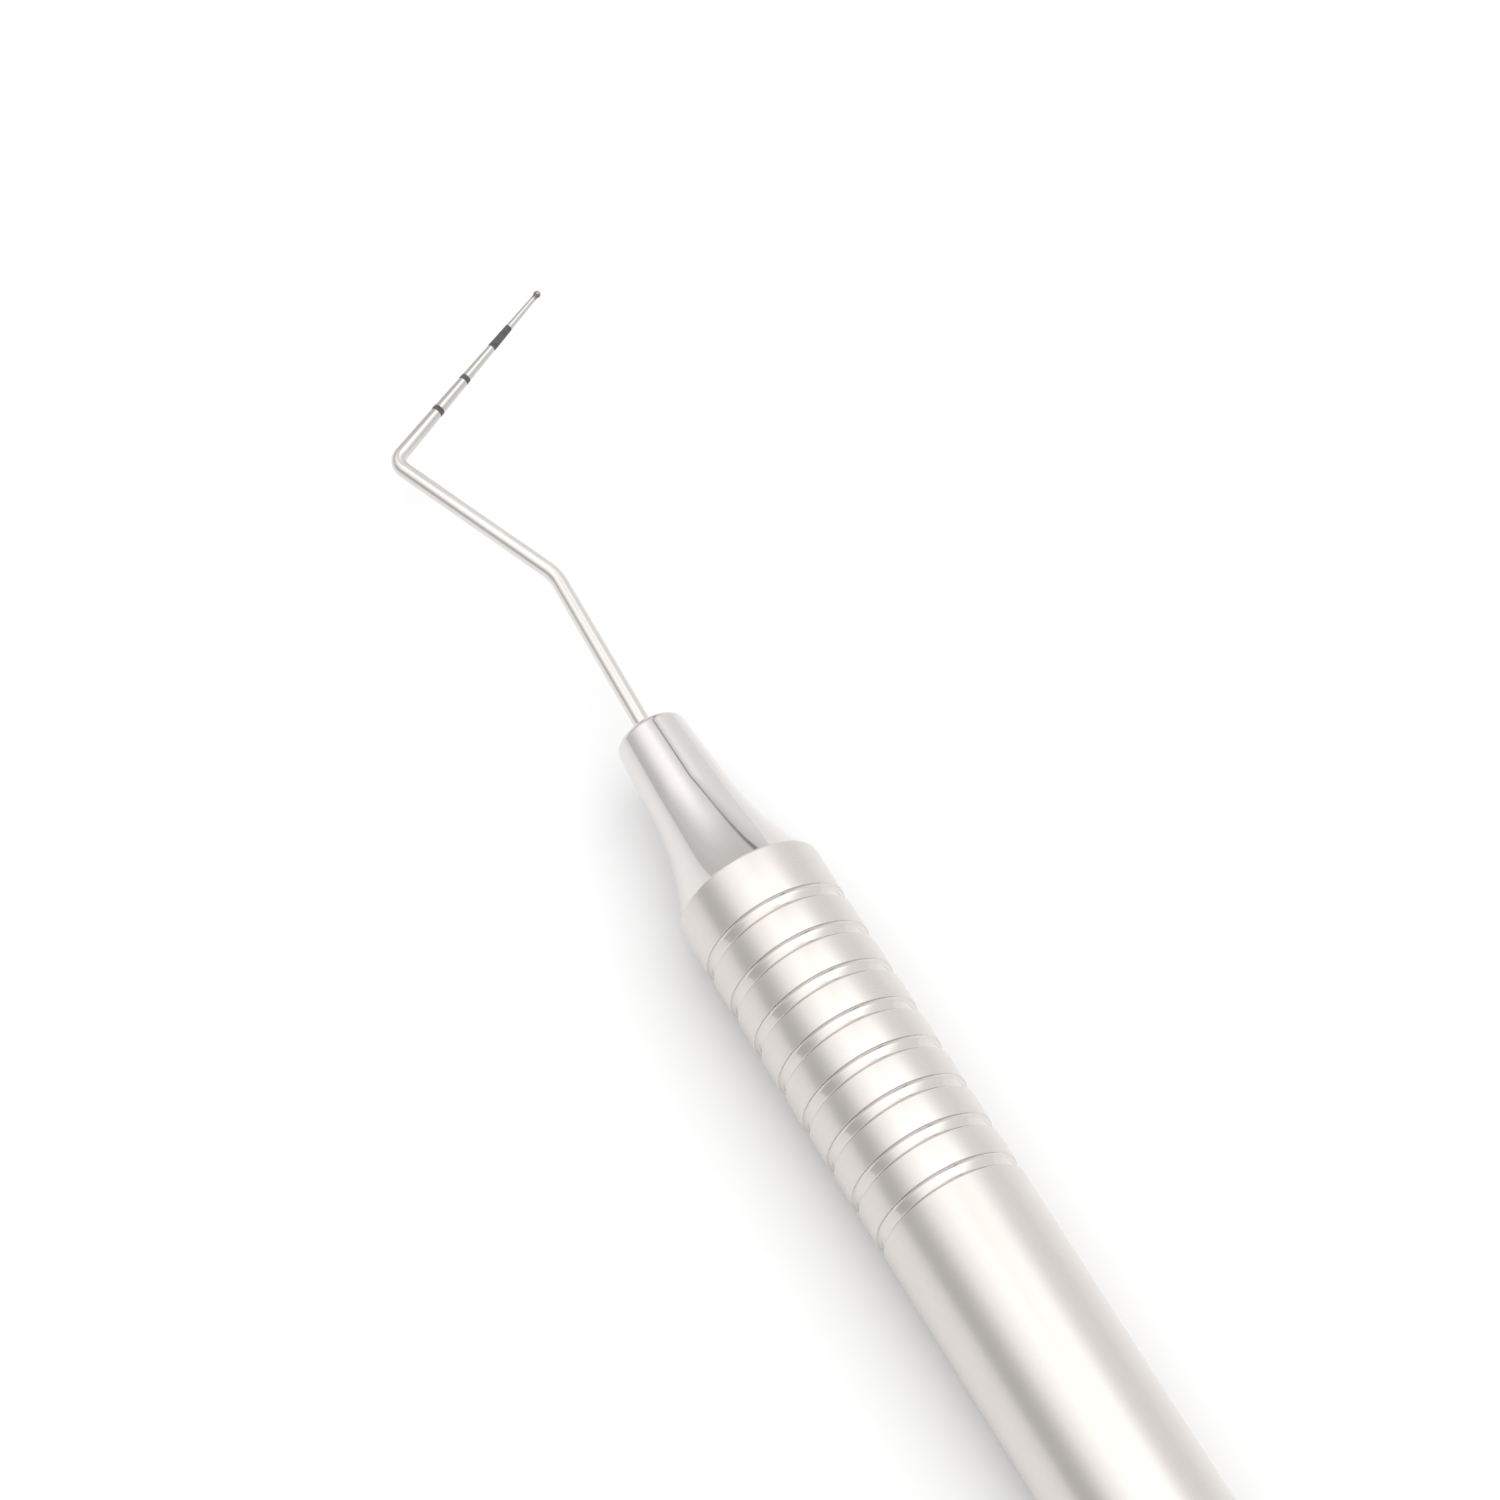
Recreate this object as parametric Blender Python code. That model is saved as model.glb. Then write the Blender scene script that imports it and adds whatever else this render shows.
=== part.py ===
"""Ball-ended periodontal probe with a screw-in working end.

The hollow handle lies along X with its butt towards +X. The working end points
towards -X, and the bends of the shank lie in the horizontal plane through the
handle's axis. The origin is the centre of the bounding box's underside.

Every piece is first laid out in the instrument's own frame, in millimetres:
x = 0 is the handle's front rim, the handle's axis is y = z = 0, and the shank
bends in the plane z = 0. The empty "instrument_frame" then sets it down.
"""
import math

import bmesh
import bpy
from mathutils import Vector

MM = 0.001

# ---- handle -----------------------------------------------------------------
HANDLE_D = 9.5            # outside diameter
HANDLE_LENGTH = 120.0     # front rim to butt face
TUBE_LENGTH = 118.0
TUBE_WALL = 0.8
RIM_ROUND = 0.18          # rounding of the tube's front edge
GROOVES = 8
GROOVE_FIRST = 3.84       # front rim to the first groove's middle
GROOVE_PITCH = 2.93
GROOVE_LIP_R = 0.07       # eased edges
GROOVE_FLOOR_R = 0.27     # corners of the floor
GROOVE_FLAT = 0.38        # flat of the floor
GROOVE_WALL_DEG = 77.0    # steepest part of the wall; the groove is 0.26 deep

# ---- rear plug --------------------------------------------------------------
PLUG_SPIGOT = 6.0         # length inside the tube
PLUG_EDGE_R = 1.6         # rounding of the butt's edge
PRESS_GAP = 0.02          # drawn gap of a pressed or seated face

# ---- nose -------------------------------------------------------------------
NOSE_LENGTH = 12.72       # front face to the seat on the handle
NOSE_FRONT_R = 2.285      # radius of the cone at its front face
NOSE_CONE_DEG = 4.0       # half angle of the slim part
NOSE_FLARE_AT = 5.4       # where the flare starts, from the front face
NOSE_FLARE_R = 20.5       # radius of the hollow flare
NOSE_EDGE_R = 0.52        # rounding of the front edge
SPIGOT_R = 3.2            # locating spigot behind the seat
SPIGOT_LENGTH = 1.5
TANG_DEPTH = 8.2          # bore for the shank's tang

# ---- screw thread, M5 x 0.8, right-handed -----------------------------------
PITCH = 0.8
THREAD_TURNS = 7
THREAD_AT = 2.30          # x of the first crest's centre at angle zero
STUD_MAJOR_R = 2.5
STUD_MINOR_R = 2.0
STUD_CREST = 0.10         # width of the crest flat
STUD_END = 8.95
BUSH_GROOVE_R = 2.58
BUSH_TOOTH_R = 2.10
FLANK_GAP = 0.06          # axial clearance on each flank
BUSH_FRONT = 0.25
BUSH_REAR = 9.6
BUSH_POCKET_R = 3.25      # counterbore for the nose's spigot
BUSH_POCKET_END = 1.75
TAN30 = math.tan(math.radians(30))

# ---- shank and tip ----------------------------------------------------------
LEAN_AT = 1.0             # nose face to the slight lean's corner
LEAN_DEG = 1.9            # the shank leans towards the tip's side first
SHANK_1 = 12.05           # lean's corner to the first bend's corner
SHANK_2 = 13.3            # first bend's corner to the second's
TIP_LENGTH = 16.35        # second bend's corner to the ball's end
BEND_1_DEG = 24.2
BEND_2_DEG = 84.0
LEAN_R = 6.0
BEND_1_R = 3.6
BEND_2_R = 0.95
SHANK_D_ROOT = 1.08
SHANK_D_BEND = 0.99
BALL_D = 0.5
NECK_AT = 0.62            # narrowest point, from the ball's end
NECK_D = 0.36
TIP_TAPER = 0.040         # growth in diameter per millimetre
MARK_DEPTH = 0.035
MARK_GAP = 0.005
MARKS = (("mark_band_3p5_5p5", 3.5, 5.5),
         ("mark_ring_8p5", 8.31, 8.69),
         ("mark_ring_11p5", 11.31, 11.69))

# ---- braze fillet -----------------------------------------------------------
FILLET_R = 0.42

N_ROUND = 32              # sides of the turned pieces
N_SHANK = 14              # sides of the shank

HR = HANDLE_D / 2
TUBE_BORE_R = HR - TUBE_WALL


# ---- helpers ----------------------------------------------------------------
def clear_scene():
    for ob in list(bpy.data.objects):
        bpy.data.objects.remove(ob, do_unlink=True)


def steel(name, colour, roughness, metallic=1.0):
    mat = bpy.data.materials.new(name)
    mat.use_nodes = True
    shader = mat.node_tree.nodes["Principled BSDF"]
    shader.inputs["Base Color"].default_value = (*colour, 1.0)
    shader.inputs["Roughness"].default_value = roughness
    shader.inputs["Metallic"].default_value = metallic
    mat.diffuse_color = (*colour, 1.0)
    return mat


def place(name, bm, mat, sharp_deg=30.0):
    """Closes the bmesh into a named object under the instrument's empty."""
    bmesh.ops.recalc_face_normals(bm, faces=bm.faces[:])
    for v in bm.verts:
        v.co *= MM
    mesh = bpy.data.meshes.new(name)
    bm.to_mesh(mesh)
    bm.free()
    mesh.materials.append(mat)
    mesh.shade_smooth()
    mesh.set_sharp_from_angle(angle=math.radians(sharp_deg))
    ob = bpy.data.objects.new(name, mesh)
    bpy.context.scene.collection.objects.link(ob)
    ob.parent = instrument
    return ob


def ring(bm, x, r, n=N_ROUND):
    """A circle of vertices about the handle's axis."""
    return [bm.verts.new((x, r * math.cos(2 * math.pi * i / n), r * math.sin(2 * math.pi * i / n)))
            for i in range(n)]


def bridge(bm, a, b):
    n = len(a)
    for i in range(n):
        j = (i + 1) % n
        bm.faces.new((a[i], a[j], b[j], b[i]))


def cap(bm, loop):
    bm.faces.new(loop)


def arc(cx, cr, radius, a0, a1, steps):
    """Profile points (x, r) along an arc about (cx, cr), angles in degrees."""
    pts = []
    for k in range(steps + 1):
        a = math.radians(a0 + (a1 - a0) * k / steps)
        pts.append((cx + radius * math.cos(a), cr + radius * math.sin(a)))
    return pts


def turned(name, profile, mat, n=N_ROUND, closed=False):
    """A turned body. An open profile gets a flat cap on each end ring."""
    bm = bmesh.new()
    rings = [ring(bm, x, r, n) for x, r in profile]
    for a, b in zip(rings, rings[1:]):
        bridge(bm, a, b)
    if closed:
        bridge(bm, rings[-1], rings[0])
    else:
        cap(bm, rings[0])
        cap(bm, rings[-1])
    return place(name, bm, mat)


def helix_band(bm, ring_in, ring_out, rows, x_start, root_r, tooth_r, n=N_ROUND):
    """Winds a thread between two flat rings of the root's radius.

    rows: for one pitch, (axial offset from x_start, is_tooth). Row 0 is never a
    tooth. The strip climbs one pitch in each turn; the tooth runs in and out
    over half a turn, so the steps where the strip starts and ends are flush.
    """
    per = len(rows)
    last = per * THREAD_TURNS

    def vertex(j, i):
        turn, k = divmod(j, per)
        dx, is_tooth = rows[k]
        tau = turn + i / n
        fade = max(0.0, min(1.0, 2 * tau, 2 * (THREAD_TURNS - tau)))
        r = root_r + (tooth_r - root_r) * fade if is_tooth else root_r
        a = 2 * math.pi * i / n
        return bm.verts.new((x_start + dx + PITCH * tau, r * math.cos(a), r * math.sin(a)))

    grid = [[vertex(j, i) for i in range(n)] for j in range(last + 1)]
    step = [grid[last][0]] + [vertex(last + k, 0) for k in range(1, per + 1)]

    def at(j, i):
        if i < n:
            return grid[j][i]
        j += per
        return grid[j][0] if j <= last else step[j - last]

    for j in range(last):
        for i in range(n):
            bm.faces.new((at(j, i), at(j, i + 1), at(j + 1, i + 1), at(j + 1, i)))
    for i in range(n - 1):
        bm.faces.new((ring_in[i], ring_in[i + 1], at(0, i + 1), at(0, i)))
    bm.faces.new([ring_in[n - 1], ring_in[0]] + [grid[k][0] for k in range(per + 1)] + [grid[0][n - 1]])
    for i in range(1, n):
        bm.faces.new((at(last, i), at(last, i + 1), ring_out[(i + 1) % n], ring_out[i]))
    bm.faces.new([grid[last][0], grid[last][1], ring_out[1], ring_out[0]] + step[:0:-1])


# ---- pieces -----------------------------------------------------------------
def groove_profile(centre):
    """One form-turned grip groove: eased lips that run into a rounded floor."""
    wall = math.radians(GROOVE_WALL_DEG)
    both = GROOVE_LIP_R + GROOVE_FLOOR_R
    depth = both * (1 - math.cos(wall))
    reach = GROOVE_FLAT / 2 + both * math.sin(wall)
    half = [(GROOVE_LIP_R * math.sin(a) - reach, HR - GROOVE_LIP_R * (1 - math.cos(a)))
            for a in (0.0, wall / 2, wall)]
    half += [(-GROOVE_FLAT / 2 - GROOVE_FLOOR_R * math.sin(a), HR - depth + GROOVE_FLOOR_R * (1 - math.cos(a)))
             for a in (wall / 2, 0.0)]
    return [(centre + x, r) for x, r in half] + [(centre - x, r) for x, r in reversed(half)]


def handle_tube(mat):
    profile = [(0.0, TUBE_BORE_R + 0.1), (0.0, HR - RIM_ROUND)]
    profile += arc(RIM_ROUND, HR - RIM_ROUND, RIM_ROUND, 150, 90, 2)
    for k in range(GROOVES):
        profile += groove_profile(GROOVE_FIRST + GROOVE_PITCH * k)
    profile += [(TUBE_LENGTH, HR), (TUBE_LENGTH, TUBE_BORE_R), (0.1, TUBE_BORE_R)]
    return turned("handle_tube", profile, mat, closed=True)


def front_bush(mat):
    bm = bmesh.new()
    r_out = TUBE_BORE_R - PRESS_GAP
    tooth_w = (BUSH_GROOVE_R - BUSH_TOOTH_R) * TAN30
    half_groove = STUD_CREST / 2 + FLANK_GAP - (BUSH_GROOVE_R - STUD_MAJOR_R) * TAN30
    rows = [(0.0, False), (2 * half_groove, False),
            (2 * half_groove + tooth_w, True), (PITCH - tooth_w, True)]
    pocket = [ring(bm, BUSH_FRONT, BUSH_POCKET_R), ring(bm, BUSH_POCKET_END, BUSH_POCKET_R),
              ring(bm, BUSH_POCKET_END + 0.12, BUSH_GROOVE_R)]
    thread_end = ring(bm, THREAD_AT + PITCH * (THREAD_TURNS + 1) + 0.1, BUSH_GROOVE_R)
    outside = [ring(bm, BUSH_REAR, BUSH_GROOVE_R), ring(bm, BUSH_REAR, r_out - 0.2),
               ring(bm, BUSH_REAR - 0.2, r_out), ring(bm, BUSH_FRONT + 0.2, r_out),
               ring(bm, BUSH_FRONT, r_out - 0.2)]
    bridge(bm, pocket[0], pocket[1])
    bridge(bm, pocket[1], pocket[2])
    helix_band(bm, pocket[2], thread_end, rows, THREAD_AT - half_groove, BUSH_GROOVE_R, BUSH_TOOTH_R)
    loop = [thread_end] + outside + [pocket[0]]
    for a, b in zip(loop, loop[1:]):
        bridge(bm, a, b)
    return place("front_bush", bm, mat)


def nose_radius(u):
    """Outside radius of the nose at distance u behind its front face."""
    slope = math.radians(NOSE_CONE_DEG)
    if u <= NOSE_FLARE_AT:
        return NOSE_FRONT_R + u * math.tan(slope)
    base = NOSE_FRONT_R + NOSE_FLARE_AT * math.tan(slope)
    s = math.sin(slope) + (u - NOSE_FLARE_AT) / NOSE_FLARE_R
    return base + NOSE_FLARE_R * (math.cos(slope) - math.sqrt(1 - s * s))


def nose_cone(mat):
    bm = bmesh.new()
    front = -NOSE_LENGTH
    bore_r = SHANK_D_ROOT / 2 + PRESS_GAP
    profile = [(front + TANG_DEPTH, bore_r), (front, bore_r)]
    corner = NOSE_FRONT_R + NOSE_EDGE_R * math.tan(math.radians(NOSE_CONE_DEG)) - NOSE_EDGE_R
    profile += [(x, r) for x, r in arc(front + NOSE_EDGE_R, corner, NOSE_EDGE_R, 180, 94, 4)]
    steps = 12
    u0 = 1.2
    for k in range(steps + 1):
        u = u0 + (NOSE_LENGTH - PRESS_GAP - u0) * (k / steps) ** 0.8
        profile.append((front + u, nose_radius(u)))
    seat = -PRESS_GAP
    profile += [(seat, SPIGOT_R), (SPIGOT_LENGTH - 0.15, SPIGOT_R),
                (SPIGOT_LENGTH, SPIGOT_R - 0.15), (SPIGOT_LENGTH, STUD_MINOR_R)]
    rings = [ring(bm, x, r) for x, r in profile]
    cap(bm, rings[0])
    for a, b in zip(rings, rings[1:]):
        bridge(bm, a, b)
    flank = (STUD_MAJOR_R - STUD_MINOR_R) * TAN30
    rows = [(0.0, False), (flank, True), (flank + STUD_CREST, True), (2 * flank + STUD_CREST, False)]
    x_start = THREAD_AT - STUD_CREST / 2 - flank
    thread_end = ring(bm, x_start + PITCH * (THREAD_TURNS + 1) + 0.08, STUD_MINOR_R)
    helix_band(bm, rings[-1], thread_end, rows, x_start, STUD_MINOR_R, STUD_MAJOR_R)
    tail = ring(bm, STUD_END, STUD_MINOR_R - 0.45)
    bridge(bm, thread_end, tail)
    cap(bm, tail)
    return place("nose_cone", bm, mat)


def rear_plug(mat):
    r_in = TUBE_BORE_R - PRESS_GAP
    start = TUBE_LENGTH - PLUG_SPIGOT
    profile = [(start, r_in - 0.4), (start + 0.4, r_in), (TUBE_LENGTH - 0.1, r_in),
               (TUBE_LENGTH + PRESS_GAP, r_in), (TUBE_LENGTH + PRESS_GAP, HR - 0.06),
               (TUBE_LENGTH + PRESS_GAP + 0.06, HR)]
    profile += arc(HANDLE_LENGTH - PLUG_EDGE_R, HR - PLUG_EDGE_R, PLUG_EDGE_R, 90, 0, 5)
    return turned("rear_plug", profile, mat)


def braze_fillet(mat):
    bore_r = SHANK_D_ROOT / 2 + PRESS_GAP
    face = -NOSE_LENGTH - PRESS_GAP
    hollow = arc(face - FILLET_R, bore_r + FILLET_R, FILLET_R, 0, -90, 4)
    profile = [(face, bore_r)]
    profile += [(x, r + 0.06) for x, r in hollow]
    profile += [(face - FILLET_R, bore_r)]
    return turned("braze_fillet", profile, mat, n=20, closed=True)


# The shank's centre line: straight runs joined by arcs, all in the plane z = 0.
def heading(deg):
    """Unit direction that starts out along -X and turns towards -Y."""
    a = math.radians(deg)
    return Vector((-math.cos(a), -math.sin(a), 0))


def centre_line():
    """Start, corners and ball's end, and the four runs' directions."""
    root = Vector((-NOSE_LENGTH + TANG_DEPTH - 0.25, 0, 0))
    d0 = heading(0)
    d1 = heading(-LEAN_DEG)
    d2 = heading(BEND_1_DEG - LEAN_DEG)
    d3 = heading(BEND_1_DEG - LEAN_DEG - BEND_2_DEG)
    c0 = Vector((-NOSE_LENGTH - LEAN_AT, 0, 0))
    c1 = c0 + SHANK_1 * d1
    c2 = c1 + SHANK_2 * d2
    end = c2 + TIP_LENGTH * d3
    return (root, c0, c1, c2, end), (d0, d1, d2, d3)


def bend_points(corner, d_in, d_out, radius, steps):
    """Points and tangents along the arc that rounds a corner."""
    total = d_in.angle(d_out)
    tangent = radius * math.tan(total / 2)
    start = corner - tangent * d_in
    side = (d_out - d_out.dot(d_in) * d_in).normalized()
    pts = []
    for k in range(steps + 1):
        a = total * k / steps
        pts.append((start + radius * math.sin(a) * d_in + radius * (1 - math.cos(a)) * side,
                    math.cos(a) * d_in + math.sin(a) * side))
    return pts


def tip_radius(u):
    """Radius of the drawn tip at distance u from the ball's end."""
    return (NECK_D + TIP_TAPER * (u - NECK_AT)) / 2


def shank_sections():
    """(centre, tangent, radius) from the tang's end to the ball's end."""
    (root, c0, c1, c2, end), (d0, d1, d2, d3) = centre_line()
    run = (c0 - root).length + SHANK_1 + SHANK_2
    out = []

    def body_radius(dist):
        t = min(1.0, max(0.0, (dist - TANG_DEPTH) / (run - TANG_DEPTH)))
        return (SHANK_D_ROOT + (SHANK_D_BEND - SHANK_D_ROOT) * t) / 2

    out.append((root, d0, SHANK_D_ROOT / 2 - 0.15))
    out.append((root + 0.15 * d0, d0, SHANK_D_ROOT / 2))
    out += [(p, t, SHANK_D_ROOT / 2) for p, t in bend_points(c0, d0, d1, LEAN_R, 2)]
    out += [(p, t, body_radius((c1 - root).length)) for p, t in bend_points(c1, d1, d2, BEND_1_R, 5)]
    # The metal thins slightly through the tight bend, from the shank to the tip.
    tight = bend_points(c2, d2, d3, BEND_2_R, 9)
    r_in, r_out = SHANK_D_BEND / 2, tip_radius(TIP_LENGTH - 0.9)
    out += [(p, t, r_in + (r_out - r_in) * k / 9) for k, (p, t) in enumerate(tight)]
    stations = [(13.6, tip_radius(13.6))]
    for name, near, far in reversed(MARKS):
        stations += [(far, tip_radius(far)), (far - 0.001, tip_radius(far) - MARK_DEPTH),
                     (near + 0.001, tip_radius(near) - MARK_DEPTH), (near, tip_radius(near))]
    stations += [(1.6, tip_radius(1.6)), (NECK_AT, NECK_D / 2)]
    out += [(end - u * d3, d3, r) for u, r in stations]
    ball = BALL_D / 2
    for deg in (132, 110, 85, 60, 38, 18):
        a = math.radians(deg)
        out.append((end - (ball - ball * math.cos(a)) * d3, d3, ball * math.sin(a)))
    return out


def sweep(bm, sections, n):
    """Rings across the centre line; the frame stays in the bends' plane."""
    up = Vector((0, 0, 1))
    rings = []
    for centre, tangent, r in sections:
        side = up.cross(tangent).normalized()
        rings.append([bm.verts.new(centre + r * (math.cos(2 * math.pi * i / n) * side
                                                 + math.sin(2 * math.pi * i / n) * up))
                      for i in range(n)])
    return rings


def probe_shank(mat):
    bm = bmesh.new()
    rings = sweep(bm, shank_sections(), N_SHANK)
    for a, b in zip(rings, rings[1:]):
        bridge(bm, a, b)
    cap(bm, rings[0])
    cap(bm, rings[-1])
    return place("probe_shank", bm, mat)


def mark(name, near, far, mat):
    """Black enamel laid into a shallow turned recess of the tip."""
    points, directions = centre_line()
    end, d3 = points[-1], directions[-1]
    bm = bmesh.new()
    sections = []
    for u, r in ((near + MARK_GAP, tip_radius(near)), (far - MARK_GAP, tip_radius(far))):
        sections.append((end - u * d3, d3, r - MARK_DEPTH + MARK_GAP))
    for u, r in ((far - MARK_GAP, tip_radius(far)), (near + MARK_GAP, tip_radius(near))):
        sections.append((end - u * d3, d3, r + MARK_GAP))
    rings = sweep(bm, sections, N_SHANK)
    for a, b in zip(rings, rings[1:] + rings[:1]):
        bridge(bm, a, b)
    return place(name, bm, mat)


# ---- build ------------------------------------------------------------------
clear_scene()

# The box of the whole object, from its own dimensions, sets the origin.
(_root, _c0, _c1, _c2, _end), (_d0, _d1, _d2, _d3) = centre_line()
_bend = bend_points(_c2, _d2, _d3, BEND_2_R, 60)
_low_y = min([p.y - SHANK_D_BEND / 2 * abs(t.x) for p, t in _bend] + [-HR])
_ball_centre = _end - BALL_D / 2 * _d3
_high_y = _ball_centre.y + BALL_D / 2
_low_x = _ball_centre.x - BALL_D / 2
X0 = -(_low_x + HANDLE_LENGTH) / 2
Y0 = -(_low_y + _high_y) / 2
Z0 = HR

instrument = bpy.data.objects.new("instrument_frame", None)
bpy.context.scene.collection.objects.link(instrument)
instrument.empty_display_size = 0.005
instrument.location = (X0 * MM, Y0 * MM, Z0 * MM)

satin = steel("satin_steel", (0.69, 0.655, 0.615), 0.32)
polished = steel("polished_steel", (0.71, 0.68, 0.655), 0.10)
wire = steel("drawn_steel", (0.70, 0.67, 0.635), 0.22)
turned_steel = steel("turned_steel", (0.62, 0.60, 0.57), 0.35)
alloy = steel("braze_alloy", (0.72, 0.69, 0.60), 0.30)
enamel = steel("black_enamel", (0.03, 0.03, 0.032), 0.38, metallic=0.0)

handle_tube(satin)
front_bush(turned_steel)
rear_plug(satin)
nose_cone(polished)
probe_shank(wire)
braze_fillet(alloy)
for mark_name, mark_near, mark_far in MARKS:
    mark(mark_name, mark_near, mark_far, enamel)

bpy.context.view_layer.update()
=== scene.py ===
"""Looks of a ball-ended periodontal probe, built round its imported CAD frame.

Every visible piece is rebuilt here as a fine mesh on the CAD part's own sizes,
rides on its CAD body and gets a procedural steel, brazing alloy or enamel
material. The instrument's own frame is in millimetres: x = 0 is the handle's
front rim, its axis is y = z = 0, the tip points to -x, and the shank bends in
the plane z = 0.
"""
import math

import bmesh
import bpy
from mathutils import Matrix, Vector


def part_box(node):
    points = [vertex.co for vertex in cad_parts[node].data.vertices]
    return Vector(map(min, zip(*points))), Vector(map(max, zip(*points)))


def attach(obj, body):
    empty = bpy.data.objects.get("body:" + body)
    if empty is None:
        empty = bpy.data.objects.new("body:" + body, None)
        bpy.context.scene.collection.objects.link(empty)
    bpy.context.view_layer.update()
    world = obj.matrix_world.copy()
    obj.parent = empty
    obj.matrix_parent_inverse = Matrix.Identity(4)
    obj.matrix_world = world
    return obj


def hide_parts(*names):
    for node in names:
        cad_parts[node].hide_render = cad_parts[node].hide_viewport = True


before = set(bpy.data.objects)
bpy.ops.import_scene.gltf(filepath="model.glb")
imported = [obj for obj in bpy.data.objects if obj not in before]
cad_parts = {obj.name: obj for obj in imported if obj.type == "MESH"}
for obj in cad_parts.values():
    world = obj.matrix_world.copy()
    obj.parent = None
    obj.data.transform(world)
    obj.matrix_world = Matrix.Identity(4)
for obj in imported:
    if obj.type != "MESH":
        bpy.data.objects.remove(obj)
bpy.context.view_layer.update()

MM = 0.001

# The handle's box gives the axis and the rim; everything hangs on those.
_lo, _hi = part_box("handle_tube")
ORIGIN = Vector((_lo.x, (_lo.y + _hi.y) / 2, (_lo.z + _hi.z) / 2))

# ---- sizes, as in the CAD part ------------------------------------------------
HR = 4.75
HANDLE_LENGTH, TUBE_LENGTH = 120.0, 118.0
BORE_R = HR - 0.8
GROOVES, GROOVE_FIRST, GROOVE_PITCH = 8, 3.84, 2.93
GROOVE_LIP_R, GROOVE_FLOOR_R, GROOVE_FLAT, GROOVE_WALL_DEG = 0.07, 0.27, 0.38, 77.0
GAP = 0.02
NOSE_LENGTH, NOSE_FRONT_R, NOSE_CONE = 12.72, 2.285, math.radians(4.0)
NOSE_FLARE_AT, NOSE_FLARE_R, NOSE_EDGE_R = 5.4, 20.5, 0.52
SPIGOT_R, SPIGOT_LENGTH, TANG_DEPTH = 3.2, 1.5, 8.2
PITCH, TURNS, THREAD_AT = 0.8, 7, 2.30
MAJOR_R, MINOR_R, CREST, STUD_END = 2.5, 2.0, 0.10, 8.95
BUSH_GROOVE_R, BUSH_TOOTH_R, FLANK_GAP = 2.58, 2.10, 0.06
BUSH_FRONT, BUSH_REAR, POCKET_R, POCKET_END = 0.25, 9.6, 3.25, 1.75
TAN30 = math.tan(math.radians(30))
LEAN_AT, LEAN_DEG, LEAN_R = 1.0, 1.9, 6.0
SHANK_1, SHANK_2, TIP_LENGTH = 12.05, 13.3, 16.35
BEND_1_DEG, BEND_1_R, BEND_2_DEG, BEND_2_R = 24.2, 3.6, 84.0, 0.95
SHANK_D_ROOT, SHANK_D_BEND = 1.08, 0.99
BALL_D, NECK_AT, NECK_D, TIP_TAPER = 0.5, 0.62, 0.36, 0.040
MARK_DEPTH, MARK_GAP = 0.035, 0.005
MARKS = (("mark_band_3p5_5p5", 3.5, 5.5), ("mark_ring_8p5", 8.31, 8.69), ("mark_ring_11p5", 11.31, 11.69))
FILLET_R = 0.42


# ---- mesh helpers ---------------------------------------------------------------
def finish_mesh(name, bm, mat, sharp_deg, n_side, along=None):
    bmesh.ops.recalc_face_normals(bm, faces=bm.faces[:])
    for v in bm.verts:
        v.co = v.co * MM + ORIGIN
    mesh = bpy.data.meshes.new(name)
    bm.to_mesh(mesh)
    bm.free()
    mesh.materials.append(mat)
    mesh.shade_smooth()
    mesh.set_sharp_from_angle(angle=math.radians(sharp_deg))
    ob = bpy.data.objects.new(name, mesh)
    bpy.context.scene.collection.objects.link(ob)
    return ob


def ring(bm, x, r, n):
    return [bm.verts.new((x, r * math.cos(2 * math.pi * i / n), r * math.sin(2 * math.pi * i / n)))
            for i in range(n)]


def bridge(bm, a, b):
    n = len(a)
    for i in range(n):
        j = (i + 1) % n
        bm.faces.new((a[i], a[j], b[j], b[i]))


def arc(cx, cr, radius, a0, a1, steps):
    pts = []
    for k in range(steps + 1):
        a = math.radians(a0 + (a1 - a0) * k / steps)
        pts.append((cx + radius * math.cos(a), cr + radius * math.sin(a)))
    return pts


def turned(name, profile, mat, n, closed=False, sharp_deg=32.0):
    """A turned body. The end rings of an open profile get flat caps."""
    bm = bmesh.new()
    rings = [ring(bm, x, r, n) for x, r in profile]
    for a, b in zip(rings, rings[1:]):
        bridge(bm, a, b)
    if closed:
        bridge(bm, rings[-1], rings[0])
    else:
        bm.faces.new(rings[0])
        bm.faces.new(rings[-1])
    return finish_mesh(name, bm, mat, sharp_deg, n)


def rounded(points, radii, steps=3):
    """A profile with its corners rounded: points (x, r), one radius for each."""
    out = [points[0]]
    for k in range(1, len(points) - 1):
        p, q, s = Vector(points[k - 1]), Vector(points[k]), Vector(points[k + 1])
        rad = radii[k]
        if rad <= 0:
            out.append(tuple(q))
            continue
        u, w = (p - q).normalized(), (s - q).normalized()
        half = u.angle(w) / 2
        cut = min(rad / math.tan(half), (p - q).length * 0.49, (s - q).length * 0.49)
        rad = cut * math.tan(half)
        centre = q + (u + w).normalized() * (rad / math.sin(half))
        a, b = q + u * cut - centre, q + w * cut - centre
        turn = math.atan2(a.x * b.y - a.y * b.x, a.dot(b))
        for j in range(steps + 1):
            t = turn * j / steps
            out.append((centre.x + a.x * math.cos(t) - a.y * math.sin(t),
                        centre.y + a.x * math.sin(t) + a.y * math.cos(t)))
    out.append(points[-1])
    return out


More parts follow.
